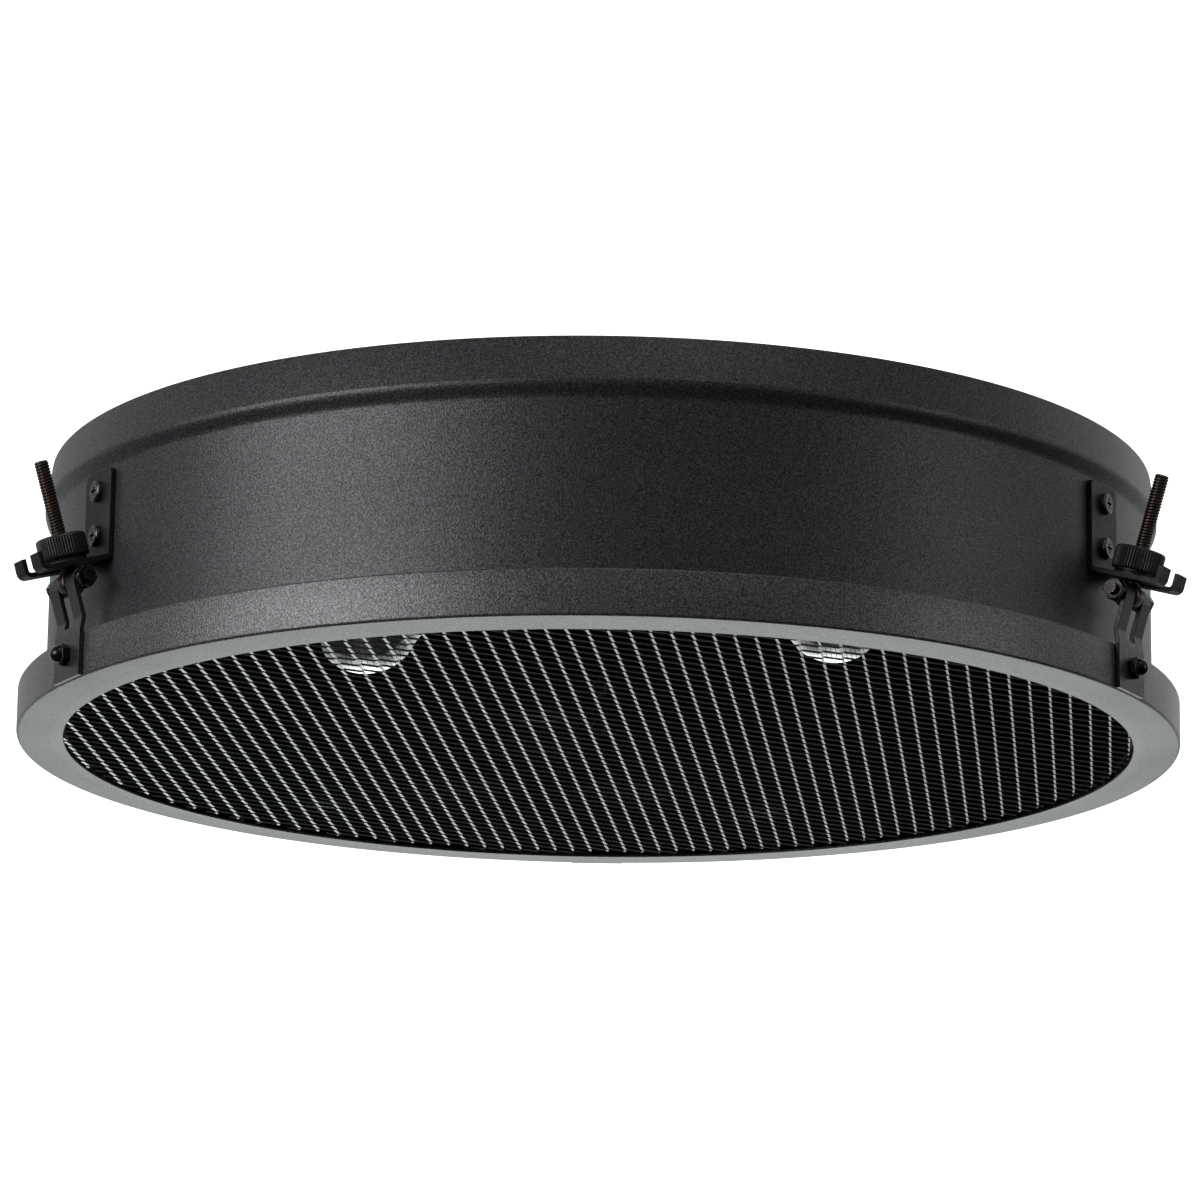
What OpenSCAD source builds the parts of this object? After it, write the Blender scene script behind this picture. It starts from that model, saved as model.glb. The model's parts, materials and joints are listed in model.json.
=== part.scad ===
// Round ceiling light: a shallow spun drum with a mesh-fronted ring that is held up
// against it by three swing-bolt clamps, and three radial screw-base lamps inside.
// The ceiling plane is z = 0 and the light hangs below it, so z = -overall_h is the
// underside of the grille ring. Modules are drawn from that underside and hung by up().

/* [Drum] */
// Height from the ceiling to the underside of the grille ring
overall_h = 116.5; // [116:0.1:117]
// Outer radius of the plain drum wall
drum_r = 238.2; // [238:0.1:238.4]
// Thickness of the spun sheet
sheet_t = 1.5; // [1.2:0.1:1.5]
// Radius at the lower lip of the flared top band
band_lip_r = 241.1; // [240.8:0.1:241.4]
// Height of the band's lip above the underside
band_lip_z = 97.5; // [97:0.1:98]
// Thickness of the ceiling plate
plate_t = 2; // [1.8:0.1:2]

/* [Ceiling fixing] */
// Pitch circle of the three fixing holes
fixing_pcd = 300; // [296:1:304]
// Radius of a fixing hole
fixing_hole_r = 2.75; // [2.5:0.05:2.9]
// Radius of the hole through the cable grommet
cable_r = 4.5; // [4:0.1:4.6]

/* [Grille ring] */
// Outer radius of the ring
ring_r = 250; // [249.9:0.1:250]
// Inner radius of the ring's flange
ring_inner_r = 229; // [228.8:0.1:229]
// Height of the ring's outer wall
ring_h = 19.1; // [18.5:0.1:19.5]
// Thickness of the flange under the mesh
flange_t = 2.2; // [2.1:0.1:2.3]
// Width of a strand of the mesh
strand_w = 1.2; // [1:0.1:1.4]
// Direction of the mesh's long strands, counterclockwise from +X
strand_dir_a = 84.6; // [80:0.1:88]
// Distance between the long strands
strand_pitch_a = 8.2; // [8:0.1:10]
// Direction of the cross strands
strand_dir_b = 8.5; // [6:0.1:12]
// Distance between the cross strands
strand_pitch_b = 9.9; // [9:0.1:11]

/* [Clamps] */
// Width of both brackets
strap_w = 24; // [23.5:0.5:24]
// Thickness of both brackets
strap_t = 2; // [1.9:0.1:2]
// Width of the slot that the swing bolt passes
slot_w = 8; // [7.8:0.1:8.2]
// Radius at which the swing bolt pivots
pivot_r = 251; // [250.8:0.1:251.2]
// Height of the pivot above the underside
pivot_z = 41; // [40.8:0.1:41.2]
// Lean of the swing bolt from the vertical, outward
lean = 17.5; // [17:0.5:18]
// Radius of the swing bolt's rod
rod_r = 2.97; // [2.96:0.01:2.98]
// Length of the swing bolt from its pivot to its tip
rod_len = 52; // [50:0.5:52]
// Radius of the knurled nut
nut_r = 10.4; // [10.2:0.1:11]

/* [Lamps] */
// Distance from the drum's axis to the middle of a lamp's globe
globe_x = 123.4; // [122:0.1:125]
// Height of the lamps' axes above the underside
lamp_z = 82.5; // [82:0.1:83]
// Radius of a lamp's globe
globe_r = 30; // [29:0.1:30]

/* [Hidden] */
$fn = 96;
inner_r = drum_r - sheet_t;

// clamps stand at these angles from +X; the pin's nut faces the light's front
clamp_angles = [210, 330, 90];
pin_sides = [1, -1, 1];

// drum: the seat of its lower edge, and the ledge under the ceiling plate
gasket_top = flange_t + 2.5;
ledge_w = 14;
plate_r = inner_r - 0.4;
plate_under = overall_h - plate_t;
plate_screw_n = 6;
plate_screw_r = inner_r - 7;

// grille: lower corner, mesh layers, the retainer over them and its screws
ring_corner = 1.2;
mesh_r = ring_inner_r + 2;
layer_t = 1;
layer_gap = 0.05;
mesh_top = flange_t + 2 * layer_t + layer_gap;
retainer_r = ring_inner_r + 6.5;
retainer_screw_r = ring_inner_r + 3.7;
retainer_screw_n = 12;

// upper bracket, in the clamp's own plane: x outward, z up
bracket_x = drum_r + strap_t / 2;
bracket_top = 90;
bracket_screw_zs = [62.5, 81.5];
out_dir = [cos(lean), -sin(lean)];
rod_dir = [sin(lean), cos(lean)];
pivot = [pivot_r, pivot_z];
fork_top = 7.9;
fork_mid = pivot + rod_dir * (fork_top - strap_t / 2);
fork_end = fork_mid + out_dir * 16.4;
fork_root = fork_mid - out_dir * ((fork_mid[0] - bracket_x) / cos(lean));
tip_h = 7;

// lower bracket: follows the ring, steps in, then leans out to its knuckles
strap_x = ring_r + strap_t / 2;
strap_slot_z = 21.8;
strap_screw_z = 10.5;
head_gap = 0.06; // a flat screw head stands this clear of the ring's curved wall
pin_r = 2.5;
pin_bore_r = 2.55;
knuckle_r = pin_bore_r + strap_t;
eye_r = 5.5;
eye_w = 7;
washer_t = 1.3;
washer_r = 9;
collar_t = 1.1;
knurl_h = 9.7;
nut_bore_r = 3.03;

// lamps and their holders, in the lamp's own plane: x outward
lamp_angles = [270, 30, 150];
cap_x = globe_x - 50;
cap_len = 23;
cap_r = 13.2;
holder_r = 20;
holder_back = 28;
shell_r = 14;
spigot_r = 5;
spigot_end = 19;
glass_t = 1;
terminal_angle = 330;
terminal_r = 92;
terminal_size = [18, 36, 14];
entry_r = 62;
earth_r = 90;

// ---- helpers ----

// hangs what is drawn above the ring's underside from the ceiling plane
module up() translate([0, 0, -overall_h]) children();

// puts a clamp's or a lamp's own plane at its angle
module around(angle) rotate([0, 0, angle]) children();

// turns a cylinder's axis to point outward along +X
module outward() rotate([0, 90, 0]) children();

// a ring of rectangular section
module band(r0, r1, z0, z1) rotate_extrude($fn = 180)
    translate([r0, z0]) square([r1 - r0, z1 - z0]);

// extrudes a side profile, drawn in x and z, across the width w
module profile(points, w) rotate([90, 0, 0]) linear_extrude(w, center = true) polygon(points);

function unit(v) = v / norm(v);
function left_of(v) = [-v[1], v[0]];

// points of an arc about c
function arc(c, r, a0, a1, n) =
    [for (i = [0:n]) let(a = a0 + (a1 - a0) * i / n) c + r * [cos(a), sin(a)]];

// the corner at b between a and c, rounded to radius r
function corner(a, b, c, r, n) =
    let(u = unit(a - b), v = unit(c - b), half = acos(u * v) / 2,
        o = b + unit(u + v) * r / sin(half), p = b + u * r / tan(half) - o,
        q = b + v * r / tan(half) - o, a0 = atan2(p[1], p[0]),
        turn = atan2(p[0] * q[1] - p[1] * q[0], p * q))
    arc(o, r, a0, a0 + turn, n);

// a path of straight legs with its corners rounded
function rounded(path, r, n = 6) = [path[0],
    for (i = [1:len(path) - 2]) each corner(path[i - 1], path[i], path[i + 1], r, n),
    path[len(path) - 1]];

// the outline of a strip of thickness t along a path
function strip(path, t) =
    let(m = len(path) - 1,
        side = [for (i = [0:m])
            left_of(unit(path[min(i + 1, m)] - path[max(i - 1, 0)])) * t / 2])
    [for (i = [0:m]) path[i] + side[i], for (i = [m:-1:0]) path[i] - side[i]];

// a hexagonal nut blank along +Z
module hex(across, h) cylinder(r = across / 2 / cos(30), h = h, $fn = 6);

// a hexagonal nut with a round bore and turned corners
module hex_nut(across, h, bore) difference() {
    intersection() {
        hex(across, h);
        cylinder(r1 = across / 2 + h, r2 = across / 2 * 1.02, h = h * 1.001);
    }
    translate([0, 0, -1]) cylinder(r = bore, h = h + 2);
}

// a flat pan head with a cross recess, its underside at z = 0
module pan_head(r, h) difference() {
    rotate_extrude() polygon([[0, 0], [r, 0], [r, h * 0.5], [r * 0.95, h * 0.85],
        [r * 0.82, h], [0, h]]);
    for (turn = [0, 90]) rotate([0, 0, turn])
        translate([-r * 0.5, -r * 0.12, h * 0.45]) cube([r, r * 0.24, h]);
}

// points of a smooth curve through a list of points, n steps to a leg
function smooth(p, n) =
    let(m = len(p) - 1)
    [for (i = [0:m - 1]) let(a = p[max(i - 1, 0)], b = p[i], c = p[i + 1],
            d = p[min(i + 2, m)])
        for (k = [0:n - 1]) let(t = k / n)
            (2 * b + (c - a) * t + (2 * a - 5 * b + 4 * c - d) * t * t
                + (3 * b - a - 3 * c + d) * t * t * t) / 2,
        p[m]];

// a round wire of radius r along a curve, its rings squared up against the vector side
module wire(curve, r, side, sides = 8) {
    m = len(curve) - 1;
    rings = [for (i = [0:m])
        let(t = unit(curve[min(i + 1, m)] - curve[max(i - 1, 0)]),
            u = unit(cross(t, side)), v = cross(t, u))
        for (k = [0:sides - 1])
            curve[i] + r * (u * cos(360 * k / sides) + v * sin(360 * k / sides))];
    walls = [for (i = [0:m - 1], k = [0:sides - 1]) let(j = (k + 1) % sides)
        [i * sides + k, (i + 1) * sides + k, (i + 1) * sides + j, i * sides + j]];
    start = [for (k = [0:sides - 1]) k];
    end = [for (k = [sides - 1:-1:0]) m * sides + k];
    polyhedron(rings, [start, end, each walls]);
}

// ---- drum and ceiling plate ----

function drum_outline() = [[drum_r, gasket_top], [drum_r, band_lip_z - 6],
    [drum_r + 0.5, band_lip_z - 5.2], [band_lip_r - 0.5, band_lip_z - 1.4],
    [band_lip_r, band_lip_z], [band_lip_r, band_lip_z + 1.2],
    [drum_r + 0.1, overall_h]];

module drum_shell() color([0.13, 0.13, 0.14]) up() difference() {
    rotate_extrude($fn = 180) polygon([each drum_outline(),
        [plate_r + 0.4, overall_h], [plate_r + 0.4, plate_under],
        [inner_r - ledge_w, plate_under], [inner_r - ledge_w, plate_under - sheet_t],
        [inner_r, plate_under - sheet_t], [inner_r, gasket_top]]);
    for (i = [0:plate_screw_n - 1]) around(i * 360 / plate_screw_n + 30)
        translate([plate_screw_r, 0, plate_under - 5]) cylinder(r = 2.2, h = 6);
    for (a = clamp_angles, z = bracket_screw_zs) around(a)
        translate([inner_r - 5, 0, z]) outward() cylinder(r = 2.6, h = 10);
}

module top_plate() color([0.55, 0.56, 0.57]) up() difference() {
    translate([0, 0, plate_under]) cylinder(r = plate_r, h = plate_t, $fn = 180);
    translate([0, 0, plate_under - 1]) {
        for (i = [0:2]) around(i * 120 + 90)
            translate([fixing_pcd / 2, 0, 0]) cylinder(r = fixing_hole_r, h = plate_t + 2);
        around(terminal_angle) translate([entry_r, 0, 0]) cylinder(r = 7, h = plate_t + 2);
        for (i = [0:plate_screw_n - 1]) around(i * 360 / plate_screw_n + 30)
            translate([plate_screw_r, 0, 0]) cylinder(r = 2, h = plate_t + 2);
        for (a = lamp_angles, y = [-9, 9]) around(a)
            translate([44, y, 0]) cylinder(r = 2, h = plate_t + 2);
        around(90) translate([earth_r, 0, 0]) cylinder(r = 2, h = plate_t + 2);
        for (y = [-12, 12]) around(terminal_angle)
            translate([terminal_r, y, 0]) cylinder(r = 1.5, h = plate_t + 2);
    }
}

module plate_screws() color([0.6, 0.6, 0.6]) up()
    for (i = [0:plate_screw_n - 1]) around(i * 360 / plate_screw_n + 30)
        translate([plate_screw_r, 0, plate_under - sheet_t]) {
            mirror([0, 0, 1]) pan_head(4, 2.6);
            cylinder(r = 2, h = sheet_t + plate_t - 0.1);
        }

module cable_grommet() color([0.08, 0.08, 0.08]) up() around(terminal_angle)
    translate([entry_r, 0, plate_under]) rotate_extrude() polygon([[cable_r, -2.2],
        [9.5, -2.2], [10, -1.7], [9.8, -0.4], [9.5, 0], [7, 0], [7, plate_t - 0.1],
        [cable_r, plate_t - 0.1]]);

module earth_stud() color([0.78, 0.66, 0.3]) up() around(90)
    translate([earth_r, 0, plate_under]) {
        translate([0, 0, -12]) cylinder(r = 2, h = 12 + plate_t - 0.1);
        translate([0, 0, -1]) difference() {
            cylinder(r = 4.6, h = 1);
            translate([0, 0, -1]) cylinder(r = 2, h = 3);
        }
        translate([0, 0, -4.2]) hex_nut(7, 3.2, 2);
        translate([0, 0, -5.2]) difference() {
            cylinder(r = 4.6, h = 1);
            translate([0, 0, -1]) cylinder(r = 2, h = 3);
        }
        translate([0, 0, -8.4]) hex_nut(7, 3.2, 2);
    }

// ---- wiring ----

module terminal_block() color([0.9, 0.9, 0.86]) up() around(terminal_angle)
    translate([terminal_r, 0, plate_under - terminal_size[2]]) difference() {
        translate([-terminal_size[0] / 2, -terminal_size[1] / 2, 0]) cube(terminal_size);
        for (y = [-12, 12]) translate([0, y, -1]) {
            cylinder(r = 1.6, h = 20);
            cylinder(r = 3.4, h = 6);
        }
        for (y = [-6, 0, 6]) {
            translate([-20, y, 7]) outward() cylinder(r = 2.4, h = 40);
            for (x = [-4.5, 4.5]) translate([x, y, -1]) cylinder(r = 1.8, h = 8);
        }
    }

module terminal_screws() color([0.75, 0.74, 0.7]) up() around(terminal_angle)
    translate([terminal_r, 0, plate_under - terminal_size[2]]) {
        for (y = [-12, 12]) translate([0, y, 5]) {
            mirror([0, 0, 1]) pan_head(3, 2.2);
            cylinder(r = 1.5, h = terminal_size[2] - 5 + plate_t - 0.2);
        }
        for (y = [-6, 0, 6], x = [-4.5, 4.5]) translate([x, y, 1]) difference() {
            cylinder(r = 1.7, h = 3.4);
            translate([-2, -0.3, -1]) cube([4, 0.6, 1.8]);
        }
    }

// one lead for each lamp, from the terminal block over to the back of its holder
function lead_points(i) =
    let(side = [-6, 6, 0][i], b = lamp_angles[i], a = terminal_angle,
        along = [cos(a), sin(a)], across = [-sin(a), cos(a)], to = [cos(b), sin(b)],
        top = plate_under - 7, hop = [103.5, 103.5, 106][i],
        at = function(v, z) [v[0], v[1], z])
    [at(along * 88 + across * side, top), at(along * 72 + across * side, top),
        at(along * 40 + across * side, hop), at(along * 14 + across * side * 0.9, hop),
        at(to * 6 + across * side * 0.3, hop - 6), at(to * 8, lamp_z + 8),
        at(to * 11, lamp_z + 2), at(to * 16, lamp_z), at(to * 27, lamp_z)];

module inner_leads() color([0.25, 0.25, 0.27]) up()
    for (i = [0:2]) wire(smooth(lead_points(i), 4), 2,
        [-sin(terminal_angle), cos(terminal_angle), 0]);

// ---- lampholders ----

module holder_bracket(i) color([0.55, 0.56, 0.57]) up() around(lamp_angles[i])
    difference() {
        profile(strip(rounded([[holder_back - 1, lamp_z - 16],
            [holder_back - 1, plate_under - 1], [52, plate_under - 1]], 3), 2), 30);
        translate([20, 0, lamp_z]) outward() cylinder(r = spigot_r + 0.1, h = 12);
        for (y = [-9, 9]) translate([44, y, plate_under - 6]) cylinder(r = 2.2, h = 10);
    }

module holder_bracket_screws() color([0.7, 0.7, 0.7]) up()
    for (a = lamp_angles, y = [-9, 9]) around(a)
        translate([44, y, plate_under - 2]) {
            mirror([0, 0, 1]) pan_head(3.8, 2.4);
            cylinder(r = 2, h = 2 + plate_t - 0.1);
        }

module holder_nuts() color([0.75, 0.74, 0.7]) up() for (a = lamp_angles) around(a)
    translate([holder_back - 6, 0, lamp_z]) outward() hex_nut(14, 4, spigot_r);

module lampholder(i) color([0.92, 0.91, 0.87]) up() around(lamp_angles[i])
    translate([0, 0, lamp_z]) outward() difference() {
        union() {
            translate([0, 0, holder_back]) rotate_extrude() polygon([[0, 0], [14, 0],
                [16, 1.5], [16, 14], [holder_r - 1, 17], [holder_r - 1, 38],
                [holder_r, 39], [holder_r, 42], [0, 42]]);
            translate([0, 0, spigot_end]) cylinder(r = spigot_r, h = 10);
        }
        translate([0, 0, 44]) cylinder(r = shell_r, h = 40);
        translate([0, 0, 36]) cylinder(r = 3.2, h = 20);
        translate([0, 0, 10]) cylinder(r = 2.3, h = 30);
    }

module socket_shells() color([0.78, 0.62, 0.3]) up() for (a = lamp_angles) around(a)
    translate([44, 0, lamp_z]) outward() difference() {
        cylinder(r = shell_r, h = 22);
        translate([0, 0, -1]) cylinder(r = shell_r - 0.6, h = 24);
    }

module socket_contacts() color([0.8, 0.64, 0.32]) up() for (a = lamp_angles) around(a)
    translate([36, 0, lamp_z]) outward() {
        cylinder(r = 3, h = 9.5);
        translate([0, 0, 9.5]) cylinder(r1 = 3, r2 = 2, h = cap_x - cap_len - 48.4);
    }

// ---- lamps ----

// a metal screw cap with a rolled thread and an insulated centre contact
module lamp_cap(i) color([0.8, 0.8, 0.8]) up() around(lamp_angles[i])
    translate([cap_x - cap_len - 2.9, 0, lamp_z]) outward() difference() {
        rotate_extrude() polygon([[0, 0], [3.4, 0], [4.6, 1.6], [11, 3],
            for (k = [0:4]) each [[12.3, 4 + k * 3.6], [cap_r, 5 + k * 3.6],
                [cap_r, 6 + k * 3.6], [12.3, 7 + k * 3.6]],
            [12.6, 22.6], [cap_r + 0.1, 25.9], [0, 25.9]]);
        translate([0, 0, 8]) cylinder(r = 11, h = 30);
    }

// half outline of the glass, thinned by inset: a globe that runs into a neck
function glass(inset) =
    let(r = globe_r - inset, neck = cap_r - 0.7 - inset)
    [for (p = arc([0, 0], r, 0, 128, 24)) [p[1], p[0]],
        [neck + 6.6, -29], [neck + 3.2, -36], [neck + 1.2, -43], [neck, -50]];

module lamp_globe(i) color([0.85, 0.88, 0.9, 0.4]) up() around(lamp_angles[i])
    translate([globe_x, 0, lamp_z]) outward() rotate_extrude()
        polygon([each glass(0), let(inner = glass(glass_t), m = len(inner) - 1)
            each [for (k = [m:-1:0]) inner[k]]]);

module lamp_filaments() color([0.95, 0.85, 0.5]) up() for (a = lamp_angles) around(a)
    translate([cap_x - 12, 0, lamp_z]) outward() {
        cylinder(r1 = 9, r2 = 5, h = 16);
        translate([0, 0, 16]) cylinder(r = 3, h = 12);
        for (k = [0:3]) rotate([0, 0, 45 + k * 90]) translate([2.6, 0, 26])
            rotate([0, 12, 0]) cylinder(r = 1, h = 38);
    }

// ---- clamps ----

module upper_bracket(i) color([0.1, 0.1, 0.1]) up() around(clamp_angles[i]) difference() {
    profile(strip(rounded([[bracket_x, bracket_top], fork_root, fork_end,
        fork_end + rod_dir * tip_h], 2.2), strap_t), strap_w);
    translate([bracket_x + strap_t / 2 + 3, -slot_w / 2, 30]) cube([60, slot_w, 40]);
    for (z = bracket_screw_zs) translate([bracket_x - 5, 0, z])
        outward() cylinder(r = 2.6, h = 10);
    for (s = [-1, 1]) translate([bracket_x, s * (strap_w / 2 - 3), bracket_top - 3])
        outward() difference() {
            translate([-4, s > 0 ? 0 : -4, -3]) cube([4, 4, 6]);
            translate([0, 0, -5]) cylinder(r = 3, h = 10);
        }
}

module bracket_screws() color([0.35, 0.34, 0.32]) up()
    for (a = clamp_angles, z = bracket_screw_zs) around(a)
        translate([drum_r + strap_t, 0, z]) outward() {
            pan_head(4.5, 2.4);
            translate([0, 0, -12]) cylinder(r = 2.5, h = 12);
        }

module bracket_nuts() color([0.5, 0.5, 0.5]) up()
    for (a = clamp_angles, z = bracket_screw_zs) around(a)
        translate([inner_r - 4.1, 0, z]) outward() hex_nut(8, 4, 2.5);

module lower_bracket(i) color([0.12, 0.12, 0.12]) up() around(clamp_angles[i]) {
    outer = pin_bore_r + strap_t / 2;
    difference() {
        union() {
            profile(strip(rounded([[strap_x, 0.3], [strap_x, 19.4], [strap_x - 0.9, 25],
                pivot + outer * [cos(-8), sin(-8)] + [-0.1, -1.5],
                pivot + outer * [cos(4), sin(4)]], 3), strap_t), strap_w);
            translate([pivot_r, 0, pivot_z]) rotate([90, 0, 0])
                cylinder(r = knuckle_r, h = strap_w, center = true);
        }
        translate([pivot_r, 0, pivot_z]) rotate([90, 0, 0])
            cylinder(r = pin_bore_r, h = strap_w + 2, center = true);
        translate([pivot_r - 8, -slot_w / 2, strap_slot_z]) cube([20, slot_w, 40]);
        translate([pivot_r, 0, pivot_z]) rotate([0, 40, 0])
            translate([-4, 0, -3.4]) cube([8, strap_w + 2, 0.8], center = true);
        translate([ring_r - 5, 0, strap_screw_z]) outward() cylinder(r = 2.6, h = 12);
    }
}

module strap_screws() color([0.4, 0.38, 0.36]) up() for (a = clamp_angles) around(a)
    translate([ring_r - sheet_t - head_gap, 0, strap_screw_z]) outward() {
        mirror([0, 0, 1]) pan_head(4.5, 2.4);
        cylinder(r = 2.5, h = sheet_t + strap_t + 5);
    }

module cap_nuts() color([0.35, 0.3, 0.27]) up() for (a = clamp_angles) around(a)
    translate([ring_r + strap_t, 0, strap_screw_z]) outward() difference() {
        union() {
            intersection() {
                hex(8, 3.4);
                cylinder(r1 = 8, r2 = 4.1, h = 3.401);
            }
            translate([0, 0, 3.4]) intersection() {
                sphere(r = 3.75);
                translate([0, 0, 5]) cube(10, center = true);
            }
        }
        translate([0, 0, -1]) cylinder(r = 2.5, h = 6);
    }

module pivot_pins() color([0.3, 0.27, 0.25]) up() for (i = [0:2]) around(clamp_angles[i])
    translate([pivot_r, 0, pivot_z]) rotate([-90 * pin_sides[i], 0, 0]) {
        translate([0, 0, -strap_w / 2]) cylinder(r = pin_r, h = strap_w + 7);
        translate([0, 0, -strap_w / 2 - 3.5]) intersection() {
            hex(8, 3.5);
            cylinder(r1 = 4.1, r2 = 8, h = 3.5);
        }
    }

module pivot_nuts() color([0.25, 0.23, 0.21]) up() for (i = [0:2]) around(clamp_angles[i])
    translate([pivot_r, 0, pivot_z]) rotate([-90 * pin_sides[i], 0, 0])
        translate([0, 0, strap_w / 2 + 0.1]) hex_nut(8, 4, pin_r);

// places what follows on the swing bolt: its pivot at z = 0 and its rod along +Z
module on_rod(i) up() around(clamp_angles[i])
    translate([pivot_r, 0, pivot_z]) rotate([0, lean, 0]) children();

module swing_bolt(i) color([0.2, 0.15, 0.12]) on_rod(i) difference() {
    union() {
        rotate([90, 0, 0]) cylinder(r = eye_r, h = eye_w, center = true);
        cylinder(r = rod_r, h = rod_len - 0.8);
        translate([0, 0, rod_len - 0.8]) cylinder(r1 = rod_r, r2 = rod_r - 0.7, h = 0.8);
    }
    rotate([90, 0, 0]) cylinder(r = pin_bore_r, h = eye_w + 2, center = true);
}

module nut_washer(i) color([0.12, 0.12, 0.12]) on_rod(i)
    translate([0, 0, fork_top + 0.02]) difference() {
        cylinder(r = washer_r, h = washer_t);
        translate([0, 0, -1]) cylinder(r = nut_bore_r, h = washer_t + 2);
    }

module knurled_nut(i) color([0.07, 0.07, 0.07]) on_rod(i)
    translate([0, 0, fork_top + washer_t + 0.04]) rotate_extrude()
        polygon([[nut_bore_r, 0], [nut_r - 1.6, 0], [nut_r - 1.6, collar_t],
            [nut_r - 0.6, collar_t], [nut_r, collar_t + 0.6],
            [nut_r, collar_t + knurl_h - 1], [nut_r - 1, collar_t + knurl_h],
            [nut_bore_r, collar_t + knurl_h]]);

// ---- grille ring ----

module grille_ring() color([0.2, 0.21, 0.21]) up() difference() {
    rotate_extrude($fn = 180) polygon([
        each arc([ring_r - ring_corner, ring_corner], ring_corner, -90, 0, 6),
        [ring_r, ring_h], [ring_r - sheet_t, ring_h],
        each arc([ring_r - sheet_t - 1, flange_t + 1], 1, 0, -90, 4),
        [ring_inner_r + 0.3, flange_t], each arc([ring_inner_r + 1.1, 1.1], 1.1, 180, 270, 5)]);
    for (i = [0:retainer_screw_n - 1]) around(i * 360 / retainer_screw_n + 15)
        translate([retainer_screw_r, 0, 0.8]) cylinder(r = 1.5, h = 5);
    for (a = clamp_angles) around(a) translate([ring_r - 5, 0, strap_screw_z])
        outward() cylinder(r = 2.6, h = 10);
}

// straight strands a pitch apart, each as long as its chord of the opening
module strands(direction, pitch, z) {
    last = floor(mesh_r / pitch);
    rotate([0, 0, direction]) for (k = [-last:last]) {
        half = sqrt(mesh_r * mesh_r - pow(k * pitch, 2)) - 0.5;
        if (half > 10) translate([-half, k * pitch - strand_w / 2, z])
            cube([2 * half, strand_w, layer_t]);
    }
}

module mesh_screen() color([0.5, 0.52, 0.52]) up() {
    strands(strand_dir_a, strand_pitch_a, flange_t);
    strands(strand_dir_b, strand_pitch_b, flange_t + layer_t + layer_gap);
}

module mesh_retainer() color([0.15, 0.15, 0.15]) up() difference() {
    rotate_extrude($fn = 180) polygon([[ring_inner_r + 0.5, mesh_top],
        [retainer_r - 1.2, mesh_top], [retainer_r - 1.2, flange_t], [retainer_r, flange_t],
        [retainer_r, mesh_top + 1.2], [ring_inner_r + 0.5, mesh_top + 1.2]]);
    for (i = [0:retainer_screw_n - 1]) around(i * 360 / retainer_screw_n + 15)
        translate([retainer_screw_r, 0, mesh_top - 1]) cylinder(r = 1.5, h = 4);
}

module retainer_screws() color([0.6, 0.6, 0.6]) up()
    for (i = [0:retainer_screw_n - 1]) around(i * 360 / retainer_screw_n + 15)
        translate([retainer_screw_r, 0, mesh_top + 1.2]) {
            pan_head(2.4, 1.7);
            translate([0, 0, 0.8 - mesh_top - 1.2]) cylinder(r = 1.5, h = mesh_top + 0.4);
        }

module drum_gasket() color([0.05, 0.05, 0.05]) up()
    band(inner_r - 0.3, drum_r + 1.2, flange_t, gasket_top);

drum_shell();
top_plate();
plate_screws();
cable_grommet();
earth_stud();
terminal_block();
terminal_screws();
inner_leads();
holder_bracket(0);  // holder_bracket_1
holder_bracket(1);  // holder_bracket_2
holder_bracket(2);  // holder_bracket_3
holder_bracket_screws();
holder_nuts();
lampholder(0);  // lampholder_1
lampholder(1);  // lampholder_2
lampholder(2);  // lampholder_3
socket_shells();
socket_contacts();
lamp_cap(0);  // lamp_cap_1
lamp_cap(1);  // lamp_cap_2
lamp_cap(2);  // lamp_cap_3
lamp_globe(0);  // lamp_globe_1
lamp_globe(1);  // lamp_globe_2
lamp_globe(2);  // lamp_globe_3
lamp_filaments();
upper_bracket(0);  // upper_bracket_1
upper_bracket(1);  // upper_bracket_2
upper_bracket(2);  // upper_bracket_3
bracket_screws();
bracket_nuts();
grille_ring();
mesh_screen();
mesh_retainer();
retainer_screws();
drum_gasket();
lower_bracket(0);  // lower_bracket_1
lower_bracket(1);  // lower_bracket_2
lower_bracket(2);  // lower_bracket_3
strap_screws();
cap_nuts();
pivot_pins();
pivot_nuts();
swing_bolt(0);  // swing_bolt_1
swing_bolt(1);  // swing_bolt_2
swing_bolt(2);  // swing_bolt_3
nut_washer(0);  // nut_washer_1
nut_washer(1);  // nut_washer_2
nut_washer(2);  // nut_washer_3
knurled_nut(0);  // knurled_nut_1
knurled_nut(1);  // knurled_nut_2
knurled_nut(2);  // knurled_nut_3
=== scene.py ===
import json
import math

import bmesh
import bpy
from mathutils import Matrix, Vector


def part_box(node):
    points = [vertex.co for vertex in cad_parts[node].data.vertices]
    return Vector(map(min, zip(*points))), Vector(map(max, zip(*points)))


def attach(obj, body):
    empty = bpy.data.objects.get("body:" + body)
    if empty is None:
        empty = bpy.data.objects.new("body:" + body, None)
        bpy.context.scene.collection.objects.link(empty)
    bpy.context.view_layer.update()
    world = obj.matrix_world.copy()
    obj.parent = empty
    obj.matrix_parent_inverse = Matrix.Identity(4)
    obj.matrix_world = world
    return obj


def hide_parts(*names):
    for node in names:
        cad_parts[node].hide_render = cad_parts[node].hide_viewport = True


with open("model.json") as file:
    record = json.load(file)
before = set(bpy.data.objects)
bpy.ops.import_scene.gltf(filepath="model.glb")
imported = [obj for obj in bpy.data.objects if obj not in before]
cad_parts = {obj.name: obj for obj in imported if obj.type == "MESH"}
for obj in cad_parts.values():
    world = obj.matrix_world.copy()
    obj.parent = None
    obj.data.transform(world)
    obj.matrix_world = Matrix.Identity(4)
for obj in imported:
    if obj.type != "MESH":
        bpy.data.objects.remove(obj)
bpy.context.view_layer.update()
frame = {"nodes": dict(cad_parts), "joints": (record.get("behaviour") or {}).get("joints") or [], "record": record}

MM = 0.001
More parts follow.
